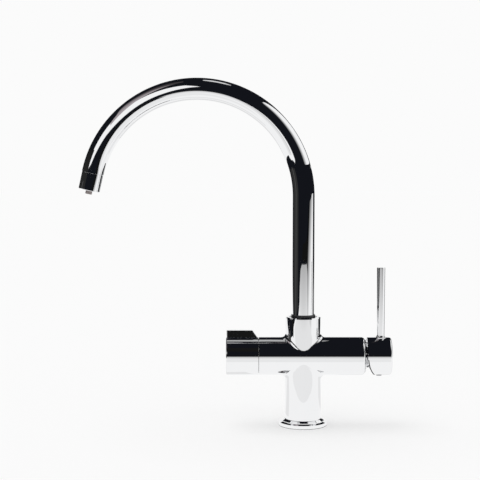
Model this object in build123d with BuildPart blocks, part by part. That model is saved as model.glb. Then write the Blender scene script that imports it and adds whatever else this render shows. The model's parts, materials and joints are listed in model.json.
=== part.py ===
from build123d import *
import math
import os

# Three way kitchen tap: hot, cold and filtered water from one swan-neck spout.
#
# The tap stands on its base ring at z = 0, with its column on the Z axis. The barrel lies along X:
# the filtered water handle is at its left end (-X), the mixing lever at its right end (+X), and the
# spout points to -X. All sizes are in millimetres.

# ---------------------------------------------------------------- sizes of the body casting
barrel_d = 40.0
barrel_z = 73.0              # height of the barrel's axis
column_d = barrel_d - 2.0    # the column and the collar are a little slimmer than the barrel
collar_d = barrel_d - 3.0
body_left = -46.5            # end faces of the barrel
body_right = 64.2
collar_top = 114.5
blend_r = 4.5                # cast fillet where the collar and the column run into the barrel
collar_chamfer = 1.0
right_rim_r = 3.0
left_rim_chamfer = 0.4

# ---------------------------------------------------------------- foot of the tap
base_ring_d = column_d + 12.0
base_ring_rim = 3.8          # upright part of the ring's edge
base_ring_height = 7.2
base_ring_step = 0.6         # small step half way up the ring's slope
base_ring_step_d = column_d + 6.2
base_ring_top_d = column_d + 1.4
base_seal_d = (column_d + base_ring_d) / 2   # the seal's groove is in the middle of the ring's underside
base_seal_width = 2.4
base_seal_height = 2.0
inlet_block_d = 32.0
inlet_block_height = 16.0
inlet_circle_r = 10.5        # circle on which the three inlets lie
inlet_hole_d = 9.0           # core diameter for an M10 x 1 hose end
stud_hole_d = 6.8            # core diameter for an M8 fixing stud
stud_hole_depth = 13.0
duct_d = 6.6                 # cast water ways inside the body

# ---------------------------------------------------------------- clearances
thread_play = 0.05           # screwed and pressed pieces, on the radius
running_play = 0.08          # turning shafts, on the radius
face_play = 0.03             # between flat faces that slide on each other
seat_gap = 0.3               # between pieces that move past each other

# ---------------------------------------------------------------- spout
tube_d = 23.0
tube_wall = 1.0
riser_top = 240.4            # height at which the riser turns into the bend
bend_r = 110.5               # centre line of the bend
bend_sweep = 167.4
nozzle_d = 22.5
nozzle_length = 18.5
nozzle_spigot = 5.0
nozzle_spigot_play = 0.2
nozzle_edge = 0.5
nozzle_seam = 0.5            # bevel that makes the seam under the tube's end
nozzle_ledge = 0.7           # ledge under the aerator washer
aerator_d = 18.5
aerator_height = 9.0
aerator_recess = 1.2         # how far the aerator sits inside the nozzle's mouth
aerator_washer = 1.2
aerator_washer_bore_d = 13.8
aerator_holes = 10
aerator_hole_d = 2.6
aerator_circle_r = 6.4
outlet_tip_d = 6.8
outlet_tip_bore_d = 4.0
outlet_tip_drop = 3.9        # how far the filtered water outlet stands out of the nozzle
outlet_head_d = 8.8
outlet_head = 4.2
filter_tube_d = 6.0
filter_tube_bore_d = 4.0

# ---------------------------------------------------------------- swivel seat of the spout
swivel_d = 28.6
swivel_length = 18.6
swivel_play = 0.2
swivel_web = 5.0             # web that carries the filtered water tube
thrust_washer = 1.2
thrust_washer_bore_d = 18.0
bearing_skirt = 2.4
bearing_lip = 2.4            # how far the upper bearing stands over the collar
bearing_lip_d = tube_d + 2.2
bearing_bevel = 0.4
swivel_seal_height = 2.0
swivel_seal_depth = 1.2
swivel_seal_first = 2.6      # lower seal groove above the tube's foot
swivel_seal_pitch = 5.0
stop_groove_width = 3.0
stop_groove_depth = 1.3
stop_screw_d = 4.0
stop_screw_tip_d = 2.4
stop_screw_sunk = 0.5
stop_socket = 0.6            # depth of its hexagon, as a share of its length
mixed_hole_d = 3.0
mixed_holes = 6
mixed_circle_r = 6.4
mixed_duct_x = 8.0           # riser of the mixed water in the body
filter_duct_depth = 5.5      # of the filtered water tube in the body
filter_duct_rise = 11.0      # filtered water duct above the barrel's axis
filter_duct_d = 3.2

# ---------------------------------------------------------------- filtered water handle and valve
filter_handle_length = 34.0
filter_handle_rim_r = 1.0
filter_handle_dome = 0.4     # how far its end face is domed
filter_handle_seam = 0.4     # gap between the handle and the barrel
handle_wall = 2.2
handle_socket_depth = 13.0
handle_screw_d = 4.0
handle_screw_length = 6.0
fin_height = 7.3             # how far the fin stands over the barrel
fin_thickness = 8.0
fin_left_inset = 0.9
fin_top_length = 27.0
fin_foot_gap = 0.9           # from the foot of the fin's slope to the seam
fin_sink = 0.9               # how deep the fin's sloping end runs into the handle
fin_root_r = 0.8
fin_edge_r = 0.6
valve_d = 24.0
valve_length = 26.5          # in the barrel
valve_thread_length = 10.0
valve_cage_d = 20.8
valve_flange_d = barrel_d - 10.0
valve_flange = 3.0
valve_neck_d = 13.0
valve_neck = 5.0
valve_chamber_d = 17.2
valve_disc_d = 16.8
valve_disc = 2.6
valve_port_d = 4.0
valve_port_circle_r = 4.6
valve_seal = 2.4
valve_window = 9.0
valve_oring = 1.8
valve_oring_depth = 1.0
spindle_d = 8.0
spindle_head = 3.0
spindle_flat = 0.8
spindle_seal = 1.6
spindle_seal_depth = 0.9
spindle_end_gap = 0.5
clip_thickness = 1.0
clip_d = 11.4
clip_groove_depth = 0.6
clip_mouth = 4.0
glide_ring = 2.6

# ---------------------------------------------------------------- mixing cartridge
cartridge_d = 25.0
cartridge_wall = 1.5
socket_depth = 33.2          # of the cartridge's socket below the barrel's right end face
cartridge_base = 3.0
peg_d = 3.0
peg_length = 2.4
peg_circle_r = 9.3
port_d = 4.6
port_circle_r = 5.4
port_seal_wall = 1.1
port_seal = 1.4
mixer_disc_d = 19.6
mixer_disc = 3.0
moving_disc_d = 13.2
moving_disc = 2.5
mixing_pocket_d = 8.0
mixing_pocket = 1.3
carrier_d = 13.4
carrier = 6.5
ball_d = 4.6
ball_socket_d = 5.0
ball_seat_depth = 2.0        # centre of the ball below the carrier's top
shoulder_height = 21.0       # shoulder of the housing above the socket's floor
neck_length = 6.5
neck_wall = 1.0
rotor_lip_height = 2.0       # inner lip of the neck above the shoulder
rotor_lip = 0.8
rotor_d = 21.4
rotor_stands_out = 1.5
pivot_height = 25.0          # pivot of the lever above the socket's floor
pivot_pin_d = 3.0
pivot_pin_inset = 0.5
tilt_slot_length = 12.6
tilt_slot_play = 0.2
cartridge_nut_d = 30.0
cartridge_nut = 8.0
spanner_slots = 4
spanner_slot = 3.0
shroud_gap = 0.8             # between the shroud's sphere and the hub's hollow
shroud_wall = 1.2
shroud_opening = 0.635       # radius of its mouth, as a share of the sphere's
shroud_lip_d = barrel_d - 4.2
shroud_lip = 0.9
shroud_skirt = 4.1           # length of the part that is pressed into the barrel
shroud_skirt_wall = 1.4

# ---------------------------------------------------------------- mixing lever
hub_d = barrel_d - 0.4
hub_gap = 2.4                # from the barrel's end face to the hub
hub_length = 25.4
hub_rim_r = 2.4
hub_wall = 2.0
hub_hollow = 8.6
hub_cut_r = 29.0             # arc that frees the lower half of the hub when the lever tilts
stem_d = 8.0
stem_neck_d = 3.6
stem_cone = 5.0
stem_depth = 11.0            # of the stem in the hub
stem_end_gap = 0.2
stem_flat = 1.0
rod_from_edge = 14.4         # rod's centre line from the hub's inner edge
rod_length = 93.0            # from the barrel's axis to the rod's tip
rod_foot_d = 8.2
rod_tip_d = 8.7
rod_flare_r = 1.9
rod_edge = 0.4
rod_spigot_d = 5.0
rod_spigot = 5.0
grub_d = 5.0
grub_length = 7.0
plug_from_edge = 13.1
plug_d = 6.4
plug_depth = 2.4
plug_stands_out = 0.9
socket_key = 2.5             # key size of the grub screws, across flats
socket_key_small = 2.0

# ---------------------------------------------------------------- places that follow from the sizes
barrel_r = barrel_d / 2
column_r = column_d / 2
collar_r = collar_d / 2
tube_r = tube_d / 2
valve_r = valve_d / 2
spindle_r = spindle_d / 2
hub_r = hub_d / 2
shroud_r = hub_r - hub_wall - shroud_gap     # around the lever's pivot
stem_r = stem_d / 2
rotor_r = rotor_d / 2

swivel_bore_r = swivel_d / 2 + swivel_play
swivel_top = collar_top - bearing_skirt - seat_gap
swivel_foot = swivel_top - swivel_length
collar_floor = swivel_foot - thrust_washer
tube_foot = swivel_foot + swivel_web
stop_z = swivel_foot + swivel_web / 2
stop_screw_length = collar_r - stop_screw_sunk - swivel_bore_r - running_play
filter_tube_foot = collar_floor - filter_duct_depth
filter_duct_z = barrel_z + filter_duct_rise
outlet_top = nozzle_length - aerator_recess - aerator_height

socket_floor = body_right - socket_depth
fixed_disc_x = socket_floor + cartridge_base
moving_disc_x = fixed_disc_x + mixer_disc + face_play
carrier_x = moving_disc_x + moving_disc
carrier_top = carrier_x + carrier
ball_x = carrier_top - ball_seat_depth
rotor_x = carrier_top + seat_gap
shoulder_x = socket_floor + shoulder_height
lip_x = shoulder_x + rotor_lip_height
neck_top = shoulder_x + neck_length
rotor_top = neck_top + rotor_stands_out
pivot_x = socket_floor + pivot_height
cartridge_bore_r = cartridge_d / 2 - cartridge_wall
neck_r = rotor_r + running_play + neck_wall

valve_floor = body_left + valve_length
valve_seal_x = valve_floor - valve_seal
valve_fixed_x = valve_seal_x - valve_disc
valve_moving_x = valve_fixed_x - face_play - valve_disc
spindle_head_x = valve_moving_x - spindle_head
chamber_x = spindle_head_x - face_play
flange_x = body_left - valve_flange
neck_x = flange_x - valve_neck
handle_right = body_left - filter_handle_seam
handle_left = handle_right - filter_handle_length
clip_x = neck_x - face_play - clip_thickness
handle_hollow_x = clip_x - seat_gap
spindle_socket_x = handle_hollow_x - handle_socket_depth
spindle_x = spindle_socket_x + spindle_end_gap
handle_bore_r = barrel_r - handle_wall

hub_left = body_right + hub_gap
hub_hollow_x = hub_left + hub_hollow
stem_x = hub_hollow_x + stem_depth
rod_x = hub_left + rod_from_edge
plug_x = hub_left + plug_from_edge
hub_top = barrel_z + hub_r

# ---------------------------------------------------------------- sections of the turned pieces
# On each section plane the first coordinate runs along the axis and the second is the radius.
barrel_section = Plane(origin=(0, 0, barrel_z), x_dir=(1, 0, 0), z_dir=(0, -1, 0))
column_section = Plane(origin=(0, 0, 0), x_dir=(0, 0, 1), z_dir=(0, 1, 0))
rod_section = Plane(origin=(rod_x, 0, barrel_z), x_dir=(0, 0, 1), z_dir=(0, 1, 0))
barrel_axis = Axis((0, 0, barrel_z), (1, 0, 0))
rod_axis = Axis((rod_x, 0, barrel_z), (0, 0, 1))

with BuildLine(Plane.XZ) as spout_path:
    Line((0, tube_foot), (0, riser_top))
    CenterArc((-bend_r, riser_top), bend_r, 0, bend_sweep)
spout_line = spout_path.wires()[0]
nozzle_section = Plane(origin=spout_line @ 1, x_dir=spout_line % 1, z_dir=(0, -1, 0))
nozzle_axis = Axis(spout_line @ 1, spout_line % 1)
nozzle_face = Plane(origin=spout_line @ 1, x_dir=(0, 1, 0), z_dir=spout_line % 1)


def outline(section, points):
    """Closed outline of a turned piece, from (place along the axis, radius) pairs."""
    with BuildSketch(section) as face:
        with BuildLine():
            Polyline(*points, close=True)
        make_face()
    return face.sketch


def band(section, start, end, inner_r, outer_r):
    """Section of a ring between two places along the axis and two radii."""
    return outline(section, [(start, inner_r), (end, inner_r), (end, outer_r), (start, outer_r)])


def across_barrel(x):
    """Plane across the barrel at x: first coordinate along Y, second along Z from the axis."""
    return Plane(origin=(x, 0, barrel_z), x_dir=(0, 1, 0), z_dir=(1, 0, 0))


def under_axis(x, drop):
    """Plane that faces down, a given drop below the barrel's axis."""
    return Plane(origin=(x, 0, barrel_z - drop), x_dir=(1, 0, 0), z_dir=(0, 0, -1))


def write(piece, label):
    """Name a finished piece and write its file."""
    piece.part.label = label
    export_step(piece.part, f"parts/{label}.step")


os.makedirs("parts", exist_ok=True)

# ================================================================ the body and what is fixed to it

# ---------------------------------------------------------------- body: brass casting
inlets = PolarLocations(inlet_circle_r, 3, start_angle=-60)
inlet_x = inlet_circle_r * math.cos(math.radians(60))
ports = PolarLocations(port_circle_r, 3, start_angle=-150)
mixed_duct_z = barrel_z + port_circle_r

with BuildPart() as body:
    with BuildSketch(Plane.XY):
        Circle(column_r)
    extrude(amount=barrel_z)
    with BuildSketch(Plane.XY.offset(barrel_z)):
        Circle(collar_r)
    extrude(amount=collar_top - barrel_z)
    with BuildSketch(across_barrel(body_left)):
        Circle(barrel_r)
    extrude(amount=body_right - body_left)
    fillet(body.edges().filter_by(GeomType.BSPLINE), radius=blend_r)
    fillet(body.faces().sort_by(Axis.X)[-1].edges(), radius=right_rim_r)
    chamfer(body.faces().sort_by(Axis.X)[0].edges(), length=left_rim_chamfer)
    chamfer(body.faces().sort_by(Axis.Z)[-1].edges(), length=collar_chamfer)
    # foot bore for the inlet block
    with BuildSketch(Plane.XY):
        Circle(inlet_block_d / 2 + thread_play)
    extrude(amount=inlet_block_height, mode=Mode.SUBTRACT)
    # socket of the mixing cartridge, with the wider thread of its nut
    socket_r = cartridge_d / 2 + thread_play
    revolve(band(barrel_section, socket_floor, body_right, 0, socket_r), axis=barrel_axis, mode=Mode.SUBTRACT)
    nut_bore_r = cartridge_nut_d / 2 + thread_play
    revolve(band(barrel_section, shoulder_x, body_right, 0, nut_bore_r), axis=barrel_axis, mode=Mode.SUBTRACT)
    with BuildSketch(across_barrel(socket_floor - peg_length)):
        with PolarLocations(peg_circle_r, 2):
            Circle(peg_d / 2 + thread_play)
    extrude(amount=peg_length, mode=Mode.SUBTRACT)
    # socket of the filtered water valve
    with BuildSketch(across_barrel(body_left)):
        Circle(valve_r + thread_play)
    extrude(amount=valve_length, mode=Mode.SUBTRACT)
    # swivel seat of the spout
    with BuildSketch(Plane.XY.offset(collar_floor)):
        Circle(swivel_bore_r)
    extrude(amount=collar_top - collar_floor, mode=Mode.SUBTRACT)
    # water ways: three risers from the inlets, two of them to the mixing cartridge
    with BuildSketch(Plane.XY.offset(inlet_block_height)):
        with inlets:
            Circle(duct_d / 2)
    extrude(amount=barrel_z - inlet_block_height, mode=Mode.SUBTRACT)
    with BuildSketch(across_barrel(inlet_x)):
        with PolarLocations(port_circle_r, 2, start_angle=-150, angular_range=120, endpoint=True):
            Circle(port_d / 2)
    extrude(amount=socket_floor - inlet_x, mode=Mode.SUBTRACT)
    # the third riser turns into the filtered water valve
    with BuildSketch(across_barrel(valve_floor)):
        Circle(duct_d / 2)
    extrude(amount=-inlet_circle_r - valve_floor, mode=Mode.SUBTRACT)
    # mixed water on its way to the spout
    with BuildSketch(across_barrel(mixed_duct_x)):
        with Locations((0, port_circle_r)):
            Circle(port_d / 2)
    extrude(amount=socket_floor - mixed_duct_x, mode=Mode.SUBTRACT)
    with BuildSketch(Plane.XY.offset(mixed_duct_z)):
        with Locations((mixed_duct_x, 0)):
            Circle(port_d / 2)
    extrude(amount=collar_floor - mixed_duct_z, mode=Mode.SUBTRACT)
    # filtered water on its way to the tube inside the spout
    with BuildSketch(across_barrel(valve_floor)):
        with Locations((0, filter_duct_rise)):
            Circle(filter_duct_d / 2)
    extrude(amount=-valve_floor, mode=Mode.SUBTRACT)
    with BuildSketch(Plane.XY.offset(filter_duct_z)):
        Circle(filter_tube_d / 2 + running_play)
    extrude(amount=collar_floor - filter_duct_z, mode=Mode.SUBTRACT)
    # tapped hole of the screw that keeps the spout in the collar
    with BuildSketch(Plane.XZ.offset(-collar_r)):
        with Locations((0, stop_z)):
            Circle(stop_screw_d / 2 + thread_play)
    extrude(amount=collar_r - swivel_bore_r + 1, mode=Mode.SUBTRACT)
write(body, "body")

# ---------------------------------------------------------------- base ring and its seal
with BuildPart() as base_ring:
    base_ring_r = base_ring_d / 2
    step_r = base_ring_step_d / 2
    step_z = base_ring_rim + (base_ring_height - base_ring_rim) / 2
    profile = [
        (0, column_r + thread_play),
        (base_ring_height, column_r + thread_play),
        (base_ring_height, base_ring_top_d / 2),
        (step_z, step_r),
        (step_z - base_ring_step, step_r),
        (base_ring_rim, base_ring_r),
        (0, base_ring_r),
    ]
    revolve(outline(column_section, profile), axis=Axis.Z)
    seal_inner_r = (base_seal_d - base_seal_width) / 2
    seal_outer_r = (base_seal_d + base_seal_width) / 2
    groove = band(column_section, 0, base_seal_height, seal_inner_r, seal_outer_r)
    revolve(groove, axis=Axis.Z, mode=Mode.SUBTRACT)
write(base_ring, "base_ring")

with BuildPart() as base_seal:
    seal_section = band(
        column_section, 0, base_seal_height - thread_play,
        seal_inner_r + thread_play, seal_outer_r - thread_play,
    )
    revolve(seal_section, axis=Axis.Z)
write(base_seal, "base_seal")

# ---------------------------------------------------------------- inlet block with the hose threads
with BuildPart() as inlet_block:
    with BuildSketch(Plane.XY):
        Circle(inlet_block_d / 2)
        with inlets:
            Circle(inlet_hole_d / 2, mode=Mode.SUBTRACT)
    extrude(amount=inlet_block_height)
    with BuildSketch(Plane.XY):
        Circle(stud_hole_d / 2)
    extrude(amount=stud_hole_depth, mode=Mode.SUBTRACT)
write(inlet_block, "inlet_block")

# ---------------------------------------------------------------- bearings of the spout in the collar
with BuildPart() as spout_thrust_washer:
    washer_r = swivel_bore_r - thread_play
    washer = band(column_section, collar_floor, swivel_foot, thrust_washer_bore_d / 2, washer_r)
    revolve(washer, axis=Axis.Z)
write(spout_thrust_washer, "spout_thrust_washer")

with BuildPart() as spout_upper_bearing:
    bearing_bore_r = tube_r + running_play
    profile = [
        (collar_top - bearing_skirt, bearing_bore_r),
        (collar_top + bearing_lip, bearing_bore_r),
        (collar_top + bearing_lip, bearing_lip_d / 2 - bearing_bevel),
        (collar_top + bearing_lip - bearing_bevel, bearing_lip_d / 2),
        (collar_top, bearing_lip_d / 2),
        (collar_top, swivel_bore_r - thread_play),
        (collar_top - bearing_skirt, swivel_bore_r - thread_play),
    ]
    revolve(outline(column_section, profile), axis=Axis.Z)
write(spout_upper_bearing, "spout_upper_bearing")

with BuildPart() as spout_stop_screw:
    screw_head = collar_r - stop_screw_sunk
    screw_foot = screw_head - stop_screw_length
    groove_floor = swivel_d / 2 - stop_groove_depth
    with BuildSketch(Plane.XZ.offset(-screw_head)):
        with Locations((0, stop_z)):
            Circle(stop_screw_d / 2)
    extrude(amount=stop_screw_length)
    with BuildSketch(Plane.XZ.offset(-screw_foot)):
        with Locations((0, stop_z)):
            Circle(stop_screw_tip_d / 2)
    extrude(amount=screw_foot - groove_floor - seat_gap)
    with BuildSketch(Plane.XZ.offset(-screw_head)):
        with Locations((0, stop_z)):
            RegularPolygon(socket_key_small / 2, 6, major_radius=False)
    extrude(amount=stop_screw_length * stop_socket, mode=Mode.SUBTRACT)
write(spout_stop_screw, "spout_stop_screw")

# ---------------------------------------------------------------- filtered water valve: fixed pieces
with BuildPart() as filter_valve_body:
    oring_x = body_left + valve_thread_length - 2 * valve_oring
    profile = [
        (neck_x, spindle_r + running_play),
        (neck_x, valve_neck_d / 2),
        (flange_x, valve_neck_d / 2),
        (flange_x, valve_flange_d / 2),
        (body_left, valve_flange_d / 2),
        (body_left, valve_r),
        (body_left + valve_thread_length, valve_r),
        (body_left + valve_thread_length, valve_cage_d / 2),
        (valve_floor, valve_cage_d / 2),
        (valve_floor, valve_chamber_d / 2),
        (chamber_x, valve_chamber_d / 2),
        (chamber_x, spindle_r + running_play),
    ]
    revolve(outline(barrel_section, profile), axis=barrel_axis)
    groove = band(barrel_section, oring_x, oring_x + valve_oring, valve_r - valve_oring_depth, valve_r)
    revolve(groove, axis=barrel_axis, mode=Mode.SUBTRACT)
    # outlet windows beside the moving disc
    with BuildSketch(Plane.XY.offset(barrel_z)):
        with Locations((valve_moving_x + valve_disc / 2, 0)):
            Rectangle(valve_disc, valve_window)
    extrude(amount=valve_r, both=True, mode=Mode.SUBTRACT)
write(filter_valve_body, "filter_valve_body")

with BuildPart() as filter_valve_oring:
    oring = band(
        barrel_section,
        oring_x + thread_play,
        oring_x + valve_oring - thread_play,
        valve_r - valve_oring_depth + thread_play,
        valve_r,
    )
    revolve(oring, axis=barrel_axis)
write(filter_valve_oring, "filter_valve_oring")

with BuildPart() as filter_fixed_disc:
    with BuildSketch(across_barrel(valve_fixed_x)):
        Circle(valve_disc_d / 2)
        with PolarLocations(valve_port_circle_r, 2, start_angle=90):
            Circle(valve_port_d / 2, mode=Mode.SUBTRACT)
    extrude(amount=valve_disc)
write(filter_fixed_disc, "filter_fixed_disc")

with BuildPart() as filter_lip_seal:
    lip_bore_r = duct_d / 2 + valve_port_d / 2
    lip_seal = band(barrel_section, valve_seal_x, valve_floor, lip_bore_r, valve_disc_d / 2)
    revolve(lip_seal, axis=barrel_axis)
write(filter_lip_seal, "filter_lip_seal")

with BuildPart() as filter_glide_ring:
    glide = band(
        barrel_section,
        body_left - glide_ring,
        body_left,
        valve_flange_d / 2 + thread_play,
        handle_bore_r - running_play,
    )
    revolve(glide, axis=barrel_axis)
write(filter_glide_ring, "filter_glide_ring")

# ---------------------------------------------------------------- mixing cartridge: fixed pieces
with BuildPart() as cartridge_housing:
    rotor_bore_r = rotor_r + running_play
    profile = [
        (socket_floor, cartridge_bore_r),
        (socket_floor, cartridge_d / 2),
        (shoulder_x, cartridge_d / 2),
        (shoulder_x, neck_r),
        (neck_top, neck_r),
        (neck_top, rotor_bore_r - rotor_lip),
        (lip_x, rotor_bore_r - rotor_lip),
        (lip_x, rotor_bore_r),
        (rotor_x - face_play, rotor_bore_r),
        (rotor_x - face_play, cartridge_bore_r),
    ]
    revolve(outline(barrel_section, profile), axis=barrel_axis)
write(cartridge_housing, "cartridge_housing")

with BuildPart() as cartridge_base_plate:
    with BuildSketch(across_barrel(socket_floor)):
        Circle(cartridge_bore_r - thread_play)
    extrude(amount=cartridge_base)
    with BuildSketch(across_barrel(socket_floor)):
        with PolarLocations(peg_circle_r, 2):
            Circle(peg_d / 2)
    extrude(amount=thread_play - peg_length)
    port_seal_r = port_d / 2 + port_seal_wall
    with BuildSketch(across_barrel(socket_floor)):
        with ports:
            Circle(port_seal_r + thread_play)
    extrude(amount=port_seal, mode=Mode.SUBTRACT)
    with BuildSketch(across_barrel(socket_floor)):
        with ports:
            Circle(port_d / 2)
    extrude(amount=cartridge_base, mode=Mode.SUBTRACT)
write(cartridge_base_plate, "cartridge_base_plate")

with BuildPart() as cartridge_port_seals:
    with BuildSketch(across_barrel(socket_floor)):
        with ports:
            Circle(port_seal_r)
        with ports:
            Circle(port_d / 2, mode=Mode.SUBTRACT)
    extrude(amount=port_seal)
write(cartridge_port_seals, "cartridge_port_seals")

with BuildPart() as mixer_fixed_disc:
    with BuildSketch(across_barrel(fixed_disc_x)):
        Circle(mixer_disc_d / 2)
        with ports:
            Circle(port_d / 2, mode=Mode.SUBTRACT)
    extrude(amount=mixer_disc)
write(mixer_fixed_disc, "mixer_fixed_disc")

with BuildPart() as cartridge_nut_ring:
    nut_section = band(
        barrel_section, shoulder_x, shoulder_x + cartridge_nut, neck_r + thread_play, cartridge_nut_d / 2
    )
    revolve(nut_section, axis=barrel_axis)
    with BuildSketch(across_barrel(shoulder_x + cartridge_nut)):
        with PolarLocations(cartridge_nut_d / 2, spanner_slots):
            Rectangle(2 * spanner_slot, spanner_slot)
    extrude(amount=-spanner_slot, mode=Mode.SUBTRACT)
write(cartridge_nut_ring, "cartridge_nut_ring")

with BuildPart() as cartridge_shroud:
    shroud_inner_r = shroud_r - shroud_wall
    opening_r = shroud_opening * shroud_r
    lip_end = body_right + shroud_lip
    skirt_r = cartridge_nut_d / 2 - thread_play
    skirt_inner_r = skirt_r - shroud_skirt_wall
    lip_foot_r = math.sqrt(shroud_r**2 - (lip_end - pivot_x) ** 2)
    inner_foot_r = math.sqrt(shroud_inner_r**2 - (lip_end - pivot_x) ** 2)
    mouth_outer = (pivot_x + math.sqrt(shroud_r**2 - opening_r**2), opening_r)
    mouth_inner = (pivot_x + math.sqrt(shroud_inner_r**2 - opening_r**2), opening_r)
    with BuildSketch(barrel_section):
        with BuildLine():
            Polyline(
                (body_right, skirt_inner_r),
                (body_right - shroud_skirt, skirt_inner_r),
                (body_right - shroud_skirt, skirt_r),
                (body_right, skirt_r),
                (body_right, shroud_lip_d / 2),
                (lip_end, shroud_lip_d / 2 - shroud_lip / 2),
                (lip_end, lip_foot_r),
            )
            RadiusArc((lip_end, lip_foot_r), mouth_outer, shroud_r)
            Line(mouth_outer, mouth_inner)
            RadiusArc(mouth_inner, (lip_end, inner_foot_r), -shroud_inner_r)
            Line((lip_end, inner_foot_r), (body_right, skirt_inner_r))
        make_face()
    revolve(axis=barrel_axis)
write(cartridge_shroud, "cartridge_shroud")

# ================================================================ filtered water handle, 0 to 90 degrees

with BuildPart() as handle_fin:
    # the fin ends in a slope towards the barrel
    fin_top = barrel_z + barrel_r + fin_height
    fin_root = barrel_z + barrel_r - handle_wall + thread_play
    fin_left = handle_left + fin_left_inset
    fin_shoulder = fin_left + fin_top_length
    fin_slope = (handle_right - fin_foot_gap - fin_shoulder) / fin_height
    fin_right = fin_shoulder + fin_slope * (fin_height + fin_sink)
    with BuildSketch(Plane.XZ):
        with BuildLine():
            Polyline(
                (fin_left, fin_root),
                (fin_left, fin_top),
                (fin_shoulder, fin_top),
                (fin_right, barrel_z + barrel_r - fin_sink),
                (fin_right, fin_root),
                close=True,
            )
        make_face()
    extrude(amount=fin_thickness / 2, both=True)
    standing = barrel_z + barrel_r
    fillet(handle_fin.edges().filter_by(lambda edge: edge.center().Z > standing), radius=fin_edge_r)

with BuildPart() as filter_handle:
    dome_r = (barrel_r**2 + filter_handle_dome**2) / (2 * filter_handle_dome)
    rim_corner = (handle_left + filter_handle_dome, barrel_r)
    with BuildSketch(barrel_section):
        with BuildLine():
            RadiusArc((handle_left, 0), rim_corner, dome_r)
            Polyline(rim_corner, (handle_right, barrel_r), (handle_right, 0), (handle_left, 0))
        make_face()
    revolve(axis=barrel_axis)
    fillet(filter_handle.faces().sort_by(Axis.X)[0].edges(), radius=filter_handle_rim_r)
    add(handle_fin.part)
    fin_roots = filter_handle.edges(Select.NEW).filter_by(lambda edge: edge.length > fin_root_r / 2)
    fillet(fin_roots, radius=fin_root_r)
    # hollow around the valve's flange and neck, and the socket of the spindle
    hollow = band(barrel_section, handle_hollow_x, handle_right, 0, handle_bore_r)
    revolve(hollow, axis=barrel_axis, mode=Mode.SUBTRACT)
    socket = band(barrel_section, spindle_socket_x, handle_hollow_x, 0, spindle_r + thread_play)
    revolve(socket, axis=barrel_axis, mode=Mode.SUBTRACT)
    handle_screw_x = (spindle_x + handle_hollow_x) / 2
    with BuildSketch(under_axis(handle_screw_x, 0)):
        Circle(handle_screw_d / 2 + thread_play)
    extrude(amount=barrel_r, mode=Mode.SUBTRACT)
write(filter_handle, "filter_handle")

with BuildPart() as filter_handle_screw:
    with BuildSketch(under_axis(handle_screw_x, spindle_r - spindle_flat)):
        Circle(handle_screw_d / 2)
    extrude(amount=handle_screw_length)
    with BuildSketch(under_axis(handle_screw_x, spindle_r - spindle_flat + handle_screw_length)):
        RegularPolygon(socket_key_small / 2, 6, major_radius=False)
    extrude(amount=-socket_key_small, mode=Mode.SUBTRACT)
write(filter_handle_screw, "filter_handle_screw")

with BuildPart() as filter_spindle:
    profile = [
        (spindle_x, 0),
        (spindle_x, spindle_r),
        (spindle_head_x, spindle_r),
        (spindle_head_x, valve_disc_d / 2),
        (valve_moving_x, valve_disc_d / 2),
        (valve_moving_x, 0),
    ]
    revolve(outline(barrel_section, profile), axis=barrel_axis)
    groove_r = spindle_r - clip_groove_depth
    clip_groove = band(barrel_section, clip_x, clip_x + clip_thickness, groove_r, spindle_r)
    revolve(clip_groove, axis=barrel_axis, mode=Mode.SUBTRACT)
    spindle_seal_xs = [spindle_head_x - 3 * spindle_seal, spindle_head_x - 6 * spindle_seal]
    groove_r = spindle_r - spindle_seal_depth
    for seal_x in spindle_seal_xs:
        groove = band(barrel_section, seal_x, seal_x + spindle_seal, groove_r, spindle_r)
        revolve(groove, axis=barrel_axis, mode=Mode.SUBTRACT)
    # flat for the handle's screw
    with BuildSketch(across_barrel(spindle_x)):
        with Locations((0, -spindle_r)):
            Rectangle(spindle_d, 2 * spindle_flat)
    extrude(amount=handle_socket_depth - spindle_end_gap, mode=Mode.SUBTRACT)
write(filter_spindle, "filter_spindle")

with BuildPart() as filter_spindle_seals:
    for seal_x in spindle_seal_xs:
        seal = band(
            barrel_section,
            seal_x + thread_play,
            seal_x + spindle_seal - thread_play,
            spindle_r - spindle_seal_depth + thread_play,
            spindle_r,
        )
        revolve(seal, axis=barrel_axis)
write(filter_spindle_seals, "filter_spindle_seals")

with BuildPart() as filter_spindle_clip:
    clip = band(
        barrel_section,
        clip_x + face_play,
        clip_x + clip_thickness - face_play,
        spindle_r - clip_groove_depth + thread_play,
        clip_d / 2,
    )
    revolve(clip, axis=barrel_axis)
    with BuildSketch(across_barrel(clip_x)):
        with Locations((0, -clip_d / 2)):
            Rectangle(clip_mouth, clip_d)
    extrude(amount=clip_thickness, mode=Mode.SUBTRACT)
write(filter_spindle_clip, "filter_spindle_clip")

with BuildPart() as filter_moving_disc:
    with BuildSketch(across_barrel(valve_moving_x)):
        Circle(valve_disc_d / 2)
        with PolarLocations(valve_port_circle_r, 2):
            Circle(valve_port_d / 2, mode=Mode.SUBTRACT)
    extrude(amount=valve_disc)
write(filter_moving_disc, "filter_moving_disc")

# ================================================================ rotor of the cartridge, turns about X

with BuildPart() as cartridge_rotor:
    profile = [
        (rotor_x, 0),
        (rotor_x, rotor_r),
        (lip_x - face_play, rotor_r),
        (lip_x - face_play, rotor_r - rotor_lip),
        (rotor_top, rotor_r - rotor_lip),
        (rotor_top, 0),
    ]
    revolve(outline(barrel_section, profile), axis=barrel_axis)
    with BuildSketch(across_barrel(rotor_x)):
        Rectangle(stem_d + 2 * tilt_slot_play, tilt_slot_length)
    extrude(amount=rotor_top - rotor_x, mode=Mode.SUBTRACT)
    with BuildSketch(Plane.XZ):
        with Locations((pivot_x, barrel_z)):
            Circle(pivot_pin_d / 2 + thread_play)
    extrude(amount=rotor_r, both=True, mode=Mode.SUBTRACT)
write(cartridge_rotor, "cartridge_rotor")

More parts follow.
